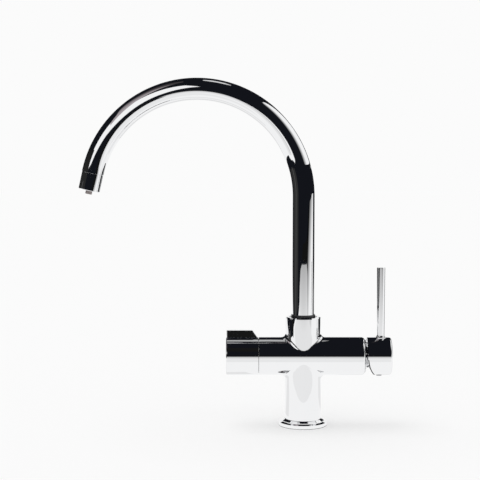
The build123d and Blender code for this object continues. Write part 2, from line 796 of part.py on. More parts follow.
with BuildPart() as lever_pivot_pin:
    with BuildSketch(Plane.XZ):
        with Locations((pivot_x, barrel_z)):
            Circle(pivot_pin_d / 2)
    extrude(amount=rotor_r - rotor_lip - pivot_pin_inset, both=True)
write(lever_pivot_pin, "lever_pivot_pin")

# ---------------------------------------------------------------- moving disc and its carrier
with BuildPart() as mixer_moving_disc:
    with BuildSketch(across_barrel(moving_disc_x)):
        Circle(moving_disc_d / 2)
    extrude(amount=moving_disc)
    with BuildSketch(across_barrel(moving_disc_x)):
        Circle(mixing_pocket_d / 2)
    extrude(amount=mixing_pocket, mode=Mode.SUBTRACT)
write(mixer_moving_disc, "mixer_moving_disc")

with BuildPart() as disc_carrier:
    with BuildSketch(across_barrel(carrier_x)):
        Circle(carrier_d / 2)
    extrude(amount=carrier)
    with BuildSketch(across_barrel(carrier_top)):
        Circle(ball_socket_d / 2)
    extrude(amount=-ball_seat_depth - ball_socket_d / 2, mode=Mode.SUBTRACT)
write(disc_carrier, "disc_carrier")

# ================================================================ mixing lever, tilts about the pivot pin

with BuildPart() as lever_stem:
    cone_x = pivot_x - stem_r
    profile = [
        (ball_x, 0),
        (ball_x, stem_neck_d / 2),
        (cone_x - stem_cone, stem_neck_d / 2),
        (cone_x, stem_r),
        (stem_x - stem_end_gap, stem_r),
        (stem_x - stem_end_gap, 0),
    ]
    revolve(outline(barrel_section, profile), axis=barrel_axis)
    with Locations((ball_x, 0, barrel_z)):
        Sphere(ball_d / 2)
    with BuildSketch(Plane.XZ):
        with Locations((pivot_x, barrel_z)):
            Circle(pivot_pin_d / 2 + thread_play)
    extrude(amount=stem_r, both=True, mode=Mode.SUBTRACT)
    with BuildSketch(across_barrel(hub_hollow_x)):
        with Locations((0, -stem_r)):
            Rectangle(stem_d, 2 * stem_flat)
    extrude(amount=stem_depth, mode=Mode.SUBTRACT)
write(lever_stem, "lever_stem")

with BuildPart() as mixer_handle:
    with BuildSketch(across_barrel(hub_left)):
        Circle(hub_r)
    extrude(amount=hub_length)
    fillet(mixer_handle.faces().sort_by(Axis.X)[-1].edges(), radius=hub_rim_r)
    # hollow over the shroud, and the socket of the stem
    hollow = band(barrel_section, hub_left, hub_hollow_x, 0, hub_r - hub_wall)
    revolve(hollow, axis=barrel_axis, mode=Mode.SUBTRACT)
    socket = band(barrel_section, hub_hollow_x, stem_x, 0, stem_r + thread_play)
    revolve(socket, axis=barrel_axis, mode=Mode.SUBTRACT)
    # the lower half of the inner edge is cut back along an arc
    cut_depth = hub_r + 1
    cut_reach = hub_cut_r - math.sqrt(hub_cut_r**2 - cut_depth**2)
    with BuildSketch(Plane.XZ):
        with BuildLine():
            RadiusArc((hub_left, barrel_z), (hub_left + cut_reach, barrel_z - cut_depth), -hub_cut_r)
            Line((hub_left + cut_reach, barrel_z - cut_depth), (hub_left - 1, barrel_z - cut_depth))
            Line((hub_left - 1, barrel_z - cut_depth), (hub_left - 1, barrel_z))
            Line((hub_left - 1, barrel_z), (hub_left, barrel_z))
        make_face()
    extrude(amount=cut_depth, both=True, mode=Mode.SUBTRACT)
    # tapped hole of the rod, and below it the hole of the grub screw with the plug's seat
    with BuildSketch(Plane.XY.offset(hub_top)):
        with Locations((rod_x, 0)):
            Circle(rod_spigot_d / 2 + thread_play)
    extrude(amount=-rod_spigot, mode=Mode.SUBTRACT)
    with BuildSketch(under_axis(plug_x, 0)):
        Circle(grub_d / 2 + thread_play)
    extrude(amount=hub_r, mode=Mode.SUBTRACT)
    with BuildSketch(under_axis(plug_x, hub_r - plug_depth)):
        Circle(plug_d / 2 + thread_play)
    extrude(amount=plug_depth, mode=Mode.SUBTRACT)
write(mixer_handle, "mixer_handle")

with BuildPart() as lever_rod:
    flare_r = rod_foot_d / 2 + rod_flare_r
    flare_top = hub_r + rod_flare_r
    with BuildSketch(rod_section):
        with BuildLine():
            Polyline(
                (flare_top, rod_foot_d / 2),
                (rod_length - rod_edge, rod_tip_d / 2),
                (rod_length, rod_tip_d / 2 - rod_edge),
                (rod_length, 0),
                (hub_r - rod_flare_r, 0),
                (hub_r - rod_flare_r, flare_r),
                (hub_r, flare_r),
            )
            RadiusArc((hub_r, flare_r), (flare_top, rod_foot_d / 2), -rod_flare_r)
        make_face()
    revolve(axis=rod_axis)
    # the flare is saddled on the hub
    with BuildSketch(across_barrel(hub_left)):
        Circle(hub_r + face_play)
    extrude(amount=hub_length, mode=Mode.SUBTRACT)
    with BuildSketch(Plane.XY.offset(hub_top - rod_spigot + thread_play)):
        with Locations((rod_x, 0)):
            Circle(rod_spigot_d / 2)
    extrude(amount=rod_spigot + rod_flare_r)
write(lever_rod, "lever_rod")

with BuildPart() as mixer_handle_screw:
    with BuildSketch(under_axis(plug_x, stem_r - stem_flat)):
        Circle(grub_d / 2)
    extrude(amount=grub_length)
    with BuildSketch(under_axis(plug_x, stem_r - stem_flat + grub_length)):
        RegularPolygon(socket_key / 2, 6, major_radius=False)
    extrude(amount=-socket_key, mode=Mode.SUBTRACT)
write(mixer_handle_screw, "mixer_handle_screw")

with BuildPart() as mixer_handle_plug:
    with BuildSketch(under_axis(plug_x, hub_r - plug_depth)):
        Circle(plug_d / 2)
    extrude(amount=plug_depth + plug_stands_out)
    chamfer(mixer_handle_plug.faces().sort_by(Axis.Z)[0].edges(), length=plug_stands_out / 2)
write(mixer_handle_plug, "mixer_handle_plug")

# ================================================================ spout, swivels about the column

with BuildPart() as spout_tube:
    with BuildSketch(Plane.XY.offset(tube_foot)):
        Circle(tube_r)
        Circle(tube_r - tube_wall, mode=Mode.SUBTRACT)
    sweep(path=spout_line)
write(spout_tube, "spout_tube")

with BuildPart() as spout_swivel_end:
    swivel_r = swivel_d / 2
    profile = [
        (swivel_foot, 0),
        (swivel_foot, swivel_r),
        (swivel_top, swivel_r),
        (swivel_top, tube_r + thread_play),
        (tube_foot, tube_r + thread_play),
        (tube_foot, 0),
    ]
    revolve(outline(column_section, profile), axis=Axis.Z)
    stop_groove = band(
        column_section,
        stop_z - stop_groove_width / 2,
        stop_z + stop_groove_width / 2,
        groove_floor,
        swivel_r,
    )
    revolve(stop_groove, axis=Axis.Z, mode=Mode.SUBTRACT)
    swivel_seal_zs = [tube_foot + swivel_seal_first + row * swivel_seal_pitch for row in range(2)]
    groove_r = swivel_r - swivel_seal_depth
    for seal_z in swivel_seal_zs:
        groove = band(column_section, seal_z, seal_z + swivel_seal_height, groove_r, swivel_r)
        revolve(groove, axis=Axis.Z, mode=Mode.SUBTRACT)
    with BuildSketch(Plane.XY.offset(swivel_foot)):
        Circle(filter_tube_d / 2 + thread_play)
        with PolarLocations(mixed_circle_r, mixed_holes):
            Circle(mixed_hole_d / 2)
    extrude(amount=swivel_web, mode=Mode.SUBTRACT)
write(spout_swivel_end, "spout_swivel_end")

with BuildPart() as spout_seals:
    for seal_z in swivel_seal_zs:
        seal = band(
            column_section,
            seal_z + thread_play,
            seal_z + swivel_seal_height - thread_play,
            swivel_r - swivel_seal_depth + thread_play,
            swivel_bore_r - thread_play,
        )
        revolve(seal, axis=Axis.Z)
write(spout_seals, "spout_seals")

with BuildLine(Plane.XZ) as filter_path:
    Line((0, filter_tube_foot), (0, riser_top))
    filter_bend = CenterArc((-bend_r, riser_top), bend_r, 0, bend_sweep)
    PolarLine(filter_bend @ 1, outlet_top - thread_play, angle=bend_sweep + 90)

with BuildPart() as filter_water_tube:
    with BuildSketch(Plane.XY.offset(filter_tube_foot)):
        Circle(filter_tube_d / 2)
        Circle(filter_tube_bore_d / 2, mode=Mode.SUBTRACT)
    sweep(path=filter_path.wires()[0])
write(filter_water_tube, "filter_water_tube")

# ---------------------------------------------------------------- nozzle with its aerator
with BuildPart() as nozzle_sleeve:
    ledge_r = aerator_d / 2 + thread_play - nozzle_ledge
    spigot_r = tube_r - tube_wall - nozzle_spigot_play
    chamber_r = aerator_d / 2 + thread_play
    washer_x = outlet_top - aerator_washer
    profile = [
        (-nozzle_spigot, ledge_r),
        (-nozzle_spigot, spigot_r),
        (0, spigot_r),
        (0, nozzle_d / 2 - nozzle_seam),
        (nozzle_seam, nozzle_d / 2),
        (nozzle_length - nozzle_edge, nozzle_d / 2),
        (nozzle_length, nozzle_d / 2 - nozzle_edge),
        (nozzle_length, chamber_r),
        (washer_x, chamber_r),
        (washer_x, ledge_r),
    ]
    revolve(outline(nozzle_section, profile), axis=nozzle_axis)
write(nozzle_sleeve, "nozzle_sleeve")

with BuildPart() as aerator_seal:
    washer = band(nozzle_section, washer_x, outlet_top, aerator_washer_bore_d / 2, aerator_d / 2)
    revolve(washer, axis=nozzle_axis)
write(aerator_seal, "aerator_seal")

with BuildPart() as aerator_insert:
    with BuildSketch(nozzle_face.offset(outlet_top)):
        Circle(aerator_d / 2)
        Circle(outlet_tip_d / 2 + thread_play, mode=Mode.SUBTRACT)
        with PolarLocations(aerator_circle_r, aerator_holes):
            Circle(aerator_hole_d / 2, mode=Mode.SUBTRACT)
    extrude(amount=aerator_height)
write(aerator_insert, "aerator_insert")

with BuildPart() as filter_outlet_tip:
    tip_end = nozzle_length + outlet_tip_drop
    profile = [
        (outlet_top - outlet_head, filter_tube_d / 2 + thread_play),
        (outlet_top - outlet_head, outlet_head_d / 2),
        (outlet_top, outlet_head_d / 2),
        (outlet_top, outlet_tip_d / 2),
        (tip_end, outlet_tip_d / 2),
        (tip_end, outlet_tip_bore_d / 2),
        (outlet_top, outlet_tip_bore_d / 2),
        (outlet_top, filter_tube_d / 2 + thread_play),
    ]
    revolve(outline(nozzle_section, profile), axis=nozzle_axis)
write(filter_outlet_tip, "filter_outlet_tip")
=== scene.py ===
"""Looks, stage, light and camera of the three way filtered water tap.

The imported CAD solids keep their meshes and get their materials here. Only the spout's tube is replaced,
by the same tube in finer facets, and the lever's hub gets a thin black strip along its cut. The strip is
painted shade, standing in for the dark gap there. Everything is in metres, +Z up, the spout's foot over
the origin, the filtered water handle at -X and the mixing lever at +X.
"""
import json
import math

import bpy
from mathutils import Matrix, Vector


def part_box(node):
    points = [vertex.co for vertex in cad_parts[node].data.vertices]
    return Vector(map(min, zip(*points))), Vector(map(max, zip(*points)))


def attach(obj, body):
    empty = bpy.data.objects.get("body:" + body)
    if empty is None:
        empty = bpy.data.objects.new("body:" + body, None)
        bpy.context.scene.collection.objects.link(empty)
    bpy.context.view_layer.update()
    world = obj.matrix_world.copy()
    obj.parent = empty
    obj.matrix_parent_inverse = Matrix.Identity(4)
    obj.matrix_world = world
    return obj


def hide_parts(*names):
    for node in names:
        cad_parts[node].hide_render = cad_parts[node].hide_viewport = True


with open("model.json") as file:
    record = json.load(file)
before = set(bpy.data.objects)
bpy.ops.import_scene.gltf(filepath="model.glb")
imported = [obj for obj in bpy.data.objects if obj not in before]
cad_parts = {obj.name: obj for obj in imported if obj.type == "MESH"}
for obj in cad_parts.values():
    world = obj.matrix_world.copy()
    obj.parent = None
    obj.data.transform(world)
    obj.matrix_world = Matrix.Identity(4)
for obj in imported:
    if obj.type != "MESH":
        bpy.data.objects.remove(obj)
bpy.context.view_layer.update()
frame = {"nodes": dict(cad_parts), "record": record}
scene = bpy.context.scene


# ---- sizes of the tap that the finer pieces follow, the same as in the CAD -------------------------

TUBE_R = 0.0115
TUBE_WALL = 0.001
BEND_R = 0.1105
BEND_SWEEP = 167.4            # degrees, from the riser's top to the nozzle
HUB_AXIS_Z = 0.073            # the lever's hub lies on the barrel's axis
HUB_R = 0.0198
HUB_CUT_R = 0.029             # of the arc that the hub's inner edge is cut back along


# ---- small helpers -------------------------------------------------------------------------------

# the Mix node's colour sockets share their names with its other sockets, so they are taken by number
MIX_COLOUR_INPUTS = (6, 7)
MIX_COLOUR_OUTPUT = 2


class Shader:
    """A material's (or the world's) node tree, wired in short lines."""

    def __init__(self, owner):
        owner.use_nodes = True
        self.tree = owner.node_tree
        self.tree.nodes.clear()

    def feed(self, socket, value):
        """Link an input to another node's socket, or give it a plain value."""
        if isinstance(value, bpy.types.NodeSocket):
            self.tree.links.new(value, socket)
        else:
            socket.default_value = value

    def add(self, kind, inputs=(), **settings):
        node = self.tree.nodes.new(kind)
        for name, value in settings.items():
            setattr(node, name, value)
        for name, value in dict(inputs).items():
            self.feed(node.inputs[name], value)
        return node

    def maths(self, operation, first, second, clamp=False):
        node = self.add("ShaderNodeMath", {0: first, 1: second}, operation=operation, use_clamp=clamp)
        return node.outputs[0]

    def noise(self, where, scale, detail=2.0, roughness=0.5):
        inputs = {"Vector": where, "Scale": scale, "Detail": detail, "Roughness": roughness}
        return self.add("ShaderNodeTexNoise", inputs).outputs["Fac"]

    def remap(self, value, source, target):
        """The value carried over from the range source to the range target, each of them (low, high)."""
        inputs = {"Value": value, "From Min": source[0], "From Max": source[1],
                  "To Min": target[0], "To Max": target[1]}
        return self.add("ShaderNodeMapRange", inputs).outputs["Result"]

    def stretched(self, where, scale):
        return self.add("ShaderNodeMapping", {"Vector": where, "Scale": scale}).outputs["Vector"]

    def mix(self, share, first, second):
        """A colour between first and second, each of them (r, g, b) or a socket."""
        node = self.add("ShaderNodeMix", {"Factor": share}, data_type="RGBA")
        for number, colour in zip(MIX_COLOUR_INPUTS, (first, second)):
            linked = isinstance(colour, bpy.types.NodeSocket)
            self.feed(node.inputs[number], colour if linked else (*colour, 1.0))
        return node.outputs[MIX_COLOUR_OUTPUT]

    def bump(self, height, depth, under=None):
        inputs = {"Height": height, "Distance": depth, "Strength": 1.0}
        if under is not None:
            inputs["Normal"] = under
        return self.add("ShaderNodeBump", inputs).outputs["Normal"]

    def diffuse(self, colour, normal):
        return self.add("ShaderNodeBsdfDiffuse", {"Color": colour, "Normal": normal}).outputs[0]

    def glow(self, colour, strength):
        return self.add("ShaderNodeEmission", {"Color": colour, "Strength": strength}).outputs[0]

    def output(self, surface, kind="ShaderNodeOutputMaterial"):
        self.add(kind, {"Surface": surface})


def place(shader):
    """Coordinates in metres that ride with the piece."""
    return shader.add("ShaderNodeTexCoord").outputs["Object"]


def surface(name, build):
    """A material with one Principled shader, whose inputs build(shader, where) returns."""
    material = bpy.data.materials.new(name)
    shader = Shader(material)
    inputs = build(shader, place(shader))
    shader.output(shader.add("ShaderNodeBsdfPrincipled", inputs).outputs[0])
    return material


def new_object(name, points, faces):
    """An object with this mesh, linked to the scene."""
    mesh = bpy.data.meshes.new(name)
    mesh.from_pydata(points, [], faces)
    mesh.update()
    obj = bpy.data.objects.new(name, mesh)
    scene.collection.objects.link(obj)
    return obj


# ---- materials -----------------------------------------------------------------------------------

# two tones of each metal, between which its wipe marks or stains wander
CHROME = ((0.90, 0.903, 0.91), (0.87, 0.875, 0.885))
BRASS = ((0.78, 0.60, 0.31), (0.66, 0.47, 0.22))
ZINC = ((0.62, 0.63, 0.65), (0.48, 0.49, 0.51))
STEEL = ((0.66, 0.67, 0.68), (0.54, 0.55, 0.56))

# how fine the patterns are: the noise's scale, about as many patches to a metre
WAVE_SCALE = 55.0
WIPE_SCALE = 38.0
HAIR_SCALE = 900.0
SPECK_SCALE = 1500.0
TOOL_MARK_SCALE = 900.0
STAIN_SCALE = 130.0
MOTTLE_SCALE = 160.0

# the roughness that each pattern gives, where it is weakest and where it is strongest
WIPE_ROUGHNESS = (0.012, 0.045)
SCRATCH_ROUGHNESS = (0.0, 0.05)
SPECK_ROUGHNESS = (0.0, 0.05)
STAIN_ROUGHNESS = (0.0, 0.12)

WIPE_STRETCH = (1.0, 1.0, 0.35)           # the wipe marks run up and down
SCRATCH_DEPTH = 1.5e-7
FULL_RANGE = (0.0, 1.0)


def chrome(name, wave_depth, polish_stretch):
    """Polished chrome plate: mirror bright, faint waves of the metal under it, wipe marks and specks."""
    def build(shader, where):
        wipes = shader.noise(shader.stretched(where, WIPE_STRETCH), WIPE_SCALE, detail=3.0, roughness=0.55)
        haze = shader.remap(wipes, (0.42, 0.78), WIPE_ROUGHNESS)
        hairs = shader.noise(shader.stretched(where, polish_stretch), HAIR_SCALE, roughness=0.6)
        scratches = shader.remap(hairs, (0.66, 0.80), SCRATCH_ROUGHNESS)
        specks = shader.remap(shader.noise(where, SPECK_SCALE, detail=1.0), (0.76, 0.82), SPECK_ROUGHNESS)
        rough = shader.maths("ADD", shader.maths("ADD", haze, scratches), specks, clamp=True)
        waves = shader.bump(shader.noise(where, WAVE_SCALE, detail=1.0), wave_depth)
        grain = shader.bump(hairs, SCRATCH_DEPTH, under=waves)
        tint = shader.mix(wipes, *CHROME)
        return {"Base Color": tint, "Metallic": 1.0, "Roughness": rough, "Normal": grain}
    return surface(name, build)


def machined(name, tones, stretch, depth=4e-6, rough=(0.22, 0.42)):
    """Worked metal: fine tool marks, drawn out along the axes that stretch scales down, and stains."""
    def build(shader, where):
        marks = shader.noise(shader.stretched(where, stretch), TOOL_MARK_SCALE, roughness=0.7)
        stains = shader.noise(where, STAIN_SCALE, detail=4.0, roughness=0.6)
        colour = shader.mix(shader.remap(stains, (0.35, 0.7), FULL_RANGE), *tones)
        worked = shader.remap(marks, (0.3, 0.7), rough)
        handled = shader.remap(stains, (0.4, 0.8), STAIN_ROUGHNESS)
        return {"Base Color": colour, "Metallic": 1.0, "Roughness": shader.maths("ADD", worked, handled),
                "Normal": shader.bump(marks, depth)}
    return surface(name, build)


def moulded(name, light, dark, rough=(0.32, 0.5), depth=6e-6, scale=1600.0, see_through=0.0):
    """Moulded plastic, rubber or ceramic: fine grain, slight mottling and shinier rubbed patches."""
    def build(shader, where):
        grain = shader.noise(where, scale, roughness=0.6)
        mottle = shader.noise(where, MOTTLE_SCALE, detail=4.0, roughness=0.6)
        colour = shader.mix(shader.remap(mottle, (0.3, 0.7), FULL_RANGE), light, dark)
        inputs = {"Base Color": colour, "Roughness": shader.remap(mottle, (0.3, 0.7), rough),
                  "Normal": shader.bump(grain, depth)}
        if see_through:
            inputs["Subsurface Weight"] = see_through
            inputs["Subsurface Radius"] = (0.0012, 0.0012, 0.0010)
            inputs["Subsurface Scale"] = 1.0
        return inputs
    return surface(name, build)


# one finish for each material slot of the record
FINISHES = {
    "body_chrome": chrome("tap_body_chrome", wave_depth=6e-6, polish_stretch=(1.0, 1.0, 0.08)),
    "spout_chrome": chrome("tap_spout_chrome", wave_depth=2.5e-6, polish_stretch=(0.25, 1.0, 0.25)),
    "handle_chrome": chrome("tap_handle_chrome", wave_depth=3e-6, polish_stretch=(0.08, 1.0, 1.0)),
    "brass": machined("turned_brass", BRASS, (0.3, 0.3, 6.0)),
    "zinc_lever": machined("cast_zinc", ZINC, (1.0, 1.0, 1.0), depth=1.2e-5, rough=(0.38, 0.55)),
    "steel": machined("bright_steel", STEEL, (0.4, 0.4, 3.0), depth=2e-6, rough=(0.2, 0.34)),
    "seal_rubber": moulded(
        "seal_rubber", light=(0.022, 0.022, 0.023), dark=(0.034, 0.034, 0.034),
        rough=(0.42, 0.62), depth=1.2e-5, scale=1100.0),
    "disc_ceramic": moulded(
        "lapped_ceramic", light=(0.80, 0.79, 0.75), dark=(0.74, 0.72, 0.67),
        rough=(0.10, 0.22), depth=8e-7, scale=2600.0),
    "bearing_plastic": moulded(
        "bearing_plastic", light=(0.80, 0.79, 0.75), dark=(0.72, 0.71, 0.66),
        rough=(0.30, 0.42), see_through=0.15),
    "guide_plastic": moulded(
        "guide_plastic", light=(0.018, 0.018, 0.021), dark=(0.028, 0.028, 0.031),
        rough=(0.12, 0.24), depth=2e-6),
    "cartridge_plastic": moulded(
        "cartridge_plastic", light=(0.60, 0.61, 0.62), dark=(0.50, 0.51, 0.52)),
    "tube_plastic": moulded(
        "tube_plastic", light=(0.72, 0.77, 0.82), dark=(0.64, 0.70, 0.76),
        rough=(0.26, 0.38), see_through=0.2),
    "aerator_plastic": moulded(
        "aerator_plastic", light=(0.42, 0.42, 0.43), dark=(0.33, 0.33, 0.34)),
    "outlet_plastic": moulded(
        "outlet_plastic", light=(0.32, 0.275, 0.27), dark=(0.25, 0.215, 0.21), rough=(0.34, 0.46)),
    "plug_plastic": moulded(
        "plug_plastic", light=(0.42, 0.42, 0.43), dark=(0.36, 0.36, 0.37), rough=(0.30, 0.42)),
}

slot_of = {part["node"]: part["material_slot"] for part in frame["record"]["subparts"]}
for node_name, solid in frame["nodes"].items():
    finish = FINISHES[slot_of[node_name]]
    for slot in solid.material_slots:
        slot.material = finish


# ---- the spout's tube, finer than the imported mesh, so that its mirror carries no facets ------------

TUBE_SPOKES = 128             # points round each ring
RISER_ROWS = 12
BEND_ROWS = 200


def tube_stations(foot, riser_top):
    """Each ring's middle (x, z) and outward direction (x, z), up the riser and round the bend."""
    stations = []
    for row in range(RISER_ROWS):
        height = foot + (riser_top - foot) * row / RISER_ROWS
        stations.append(((0.0, height), (1.0, 0.0)))
    for row in range(BEND_ROWS + 1):
        turn = math.radians(BEND_SWEEP) * row / BEND_ROWS
        out = (math.cos(turn), math.sin(turn))
        stations.append(((-BEND_R + BEND_R * out[0], riser_top + BEND_R * out[1]), out))
    return stations


def bent_tube(name, foot, riser_top):
    """Riser along Z and bend towards -X, with the inner wall and both rims."""
    stations = tube_stations(foot, riser_top)
    inner_r = TUBE_R - TUBE_WALL
    points, faces, smooth = [], [], []

    def ring(station, radius):
        """Adds one ring of points and returns the number of its first point."""
        middle, out = station
        first = len(points)
        for spoke in range(TUBE_SPOKES):
            angle = 2.0 * math.pi * spoke / TUBE_SPOKES
            reach = radius * math.cos(angle)
            side = radius * math.sin(angle)
            points.append((middle[0] + out[0] * reach, side, middle[1] + out[1] * reach))
        return first

    def join(first, second, soft):
        """Adds the faces between two rings."""
        for spoke in range(TUBE_SPOKES):
            after = (spoke + 1) % TUBE_SPOKES
            faces.append((first + spoke, first + after, second + after, second + spoke))
            smooth.append(soft)

    outer_rings = [ring(station, TUBE_R) for station in stations]
    for lower, upper in zip(outer_rings, outer_rings[1:]):
        join(lower, upper, True)
    inner_rings = [ring(station, inner_r) for station in stations]
    for lower, upper in zip(inner_rings, inner_rings[1:]):
        join(upper, lower, True)
    join(ring(stations[0], inner_r), ring(stations[0], TUBE_R), False)
    join(ring(stations[-1], TUBE_R), ring(stations[-1], inner_r), False)
    obj = new_object(name, points, faces)
    obj.data.polygons.foreach_set("use_smooth", smooth)
    obj.data.update()
    return obj


tube_low, tube_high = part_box("spout_tube")
fine_tube = bent_tube("spout_tube_fine", tube_low.z, tube_high.z - BEND_R - TUBE_R)
fine_tube.data.materials.append(FINISHES["spout_chrome"])
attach(fine_tube, "spout")
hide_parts("spout_tube")


# ---- painted shade: a thin black strip along the cut of the lever's hub, for the dark gap there ----

SHADE_STRIP_REACH = 86.0           # degrees to each side of the hub's lowest line
SHADE_STRIP_ROWS = 96
SHADE_STRIP_WIDTH = 0.0013         # at the hub's lowest line
SHADE_STRIP_TAPER = 0.25           # share of the width that a quarter turn takes away
SHADE_STRIP_TOP = (0.12, 0.85)     # where the lip's flat top starts and ends, as shares of the width
SHADE_STRIP_LIP = 0.00008          # how far it stands proud of the hub
SHADE_STRIP_ROOT = 0.0005          # how deep it is sunk into the hub's wall


def hub_gap_shade_strip(name, left):
    """A fine black lip round the lower half of the hub's inner edge, following the arc that frees the
    lever.
    It is painted shade, which stands in for the dark gap at the cut.
    """
    points, faces = [], []
    for row in range(SHADE_STRIP_ROWS + 1):
        turn = math.radians(-SHADE_STRIP_REACH + 2.0 * SHADE_STRIP_REACH * row / SHADE_STRIP_ROWS)
        depth = HUB_R * math.cos(turn)
        edge = left + HUB_CUT_R - math.sqrt(HUB_CUT_R**2 - depth**2)
        width = SHADE_STRIP_WIDTH * (1.0 - SHADE_STRIP_TAPER + SHADE_STRIP_TAPER * math.cos(turn))
        section = (
            (edge - SHADE_STRIP_LIP / 2, HUB_R - SHADE_STRIP_ROOT),
            (edge - SHADE_STRIP_LIP / 2, HUB_R + SHADE_STRIP_LIP / 2),
            (edge + SHADE_STRIP_TOP[0] * width, HUB_R + SHADE_STRIP_LIP),
            (edge + SHADE_STRIP_TOP[1] * width, HUB_R + SHADE_STRIP_LIP),
            (edge + width, HUB_R - SHADE_STRIP_LIP / 2),
        )
        for x, radius in section:
            points.append((x, radius * math.sin(turn), HUB_AXIS_Z - radius * math.cos(turn)))
    corners = len(section)
    for row in range(SHADE_STRIP_ROWS):
        near = corners * row
        far = near + corners
        for corner in range(corners):
            after = (corner + 1) % corners
            faces.append((near + corner, near + after, far + after, far + corner))
    last = corners * SHADE_STRIP_ROWS
    faces.append(tuple(reversed(range(corners))))
    faces.append(tuple(range(last, last + corners)))
    return new_object(name, points, faces)


hub_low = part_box("mixer_handle")[0]
gap_shade_strip = hub_gap_shade_strip("hub_gap_shade_strip", hub_low.x)
# the black rubber finish makes this strip a painted shadow line in the gap at the hub's cut
gap_shade_strip.data.materials.append(FINISHES["seal_rubber"])
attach(gap_shade_strip, "lever")


# ---- stage: the floor and the world around it ------------------------------------------------------

WHITE = (1.0, 1.0, 1.0, 1.0)
DARK = (0.0072, 0.0080, 0.0112, 1.0)      # the unlit studio, which the chrome mirrors between the cards
FLOOR_HALF = 6.0
FLOOR_GRAIN_SCALE = 700.0
FLOOR_GRAIN_DEPTH = 2e-5
FLOOR_LIT = ((0.93, 0.93, 0.93), (0.91, 0.91, 0.91))      # the paper as it throws light on the tap
FLOOR_SEEN = ((0.50, 0.50, 0.50), (0.49, 0.49, 0.49))     # as the camera sees it, with the glow below
FLOOR_GLOW = 0.46             # needs no lamp, so the shadow stays faint
WORLD_LIGHT = (0.75, 0.75, 0.75)
WORLD_SEEN = (0.965, 0.965, 0.965)        # behind the floor's far edge, the same tone as the floor


def staged_mesh(name, corners):
    """One flat face with these corners, as an object linked to the scene."""
    obj = new_object(name, corners, [tuple(range(len(corners)))])
    return obj


def floor_material():
    """White paper with a fine grain. Mirrors see the dark studio in its place."""
    material = bpy.data.materials.new("floor_paper")
    shader = Shader(material)
    ray = shader.add("ShaderNodeLightPath").outputs
    grain = shader.noise(place(shader), FLOOR_GRAIN_SCALE, detail=3.0, roughness=0.6)
    relief = shader.bump(grain, FLOOR_GRAIN_DEPTH)
    lit_paper = shader.diffuse(shader.mix(grain, *FLOOR_LIT), relief)
    shaded_paper = shader.diffuse(shader.mix(grain, *FLOOR_SEEN), relief)
    seen_paper = shader.add("ShaderNodeAddShader", {0: shaded_paper, 1: shader.glow(WHITE, FLOOR_GLOW)})
    paper = shader.add("ShaderNodeMixShader", {
        "Fac": ray["Is Camera Ray"], 1: lit_paper, 2: seen_paper.outputs[0]})
    shader.output(shader.add("ShaderNodeMixShader", {
        "Fac": ray["Is Glossy Ray"], 1: paper.outputs[0], 2: shader.glow(DARK, 1.0)}).outputs[0])
    return material


def studio_world():
    """Pale where the camera sees it, soft light for matt surfaces, and dark in mirrors."""
    world = bpy.data.worlds.new("studio")
    shader = Shader(world)
    ray = shader.add("ShaderNodeLightPath").outputs
    light = shader.mix(ray["Is Camera Ray"], WORLD_LIGHT, WORLD_SEEN)
    colour = shader.mix(ray["Is Glossy Ray"], light, DARK[:3])
    background = shader.add("ShaderNodeBackground", {"Color": colour, "Strength": 1.0})
    shader.output(background.outputs[0], kind="ShaderNodeOutputWorld")
    return world


floor = staged_mesh("floor", [
    (-FLOOR_HALF, -FLOOR_HALF, 0.0), (FLOOR_HALF, -FLOOR_HALF, 0.0),
    (FLOOR_HALF, FLOOR_HALF, 0.0), (-FLOOR_HALF, FLOOR_HALF, 0.0)])
floor.data.materials.append(floor_material())
scene.world = studio_world()


# ---- stage: the studio's cards, which only mirrors see ---------------------------------------------

CARD_LIFT = 0.0004            # from the floor to the lowest card, and between cards that lie on others
BACKDROP_Y = 1.5
BACKDROP_LEFT = -0.66
BACKDROP_RIGHT = 0.52
BACKDROP_TOP = 0.66
FRONT_CARD_Y = -0.59
RIGHT_CARD_X = 0.5
SHELF_Z = 0.142               # over the front card's top edge
STRIP_Z = 0.273               # over the barrel
STRIP_THICKNESS = 0.0005
LEFT_WALL_X = -0.83
LEFT_STRIP_X = -0.80
LEFT_SOFTBOX_Y = -1.0
LEFT_GLOW_X = -1.0
RIGHT_SOFTBOX_X = 1.0
FLAG_Y = -0.03                # before the fin
PANEL_Z = 0.40                # over the bend
UP = (0.0, 0.0, 1.0)
BACK = (0.0, 1.0, 0.0)
WARM = (1.0, 0.90, 0.94, 1.0)


def lying(height, *corners):
    """Corners of a level card at this height, from (x, y) pairs."""
    return [(x, y, height) for x, y in corners]


def across_y(depth, *corners):
    """Corners of an upright card at y = depth, from (x, z) pairs."""
    return [(x, depth, z) for x, z in corners]


def across_x(side, *corners):
    """Corners of an upright card at x = side, from (y, z) pairs."""
    return [(side, y, z) for y, z in corners]


def card(name, level, corners, fade=None, tint=WHITE):
    """A card of this brightness, which may fade along a direction from level at start to another at end."""
    obj = staged_mesh(name, corners)
    obj.visible_camera = False
    obj.visible_diffuse = False
    obj.visible_transmission = False
    obj.visible_shadow = False
    obj.visible_volume_scatter = False
    material = bpy.data.materials.new(name)
    shader = Shader(material)
    strength = level
    if fade:
        along = shader.add(
            "ShaderNodeVectorMath", {0: place(shader), 1: fade["along"]}, operation="DOT_PRODUCT")
        strength = shader.remap(along.outputs["Value"], (fade["start"], fade["end"]), (level, fade["to"]))
    shader.output(shader.glow(tint, strength))
    obj.data.materials.append(material)


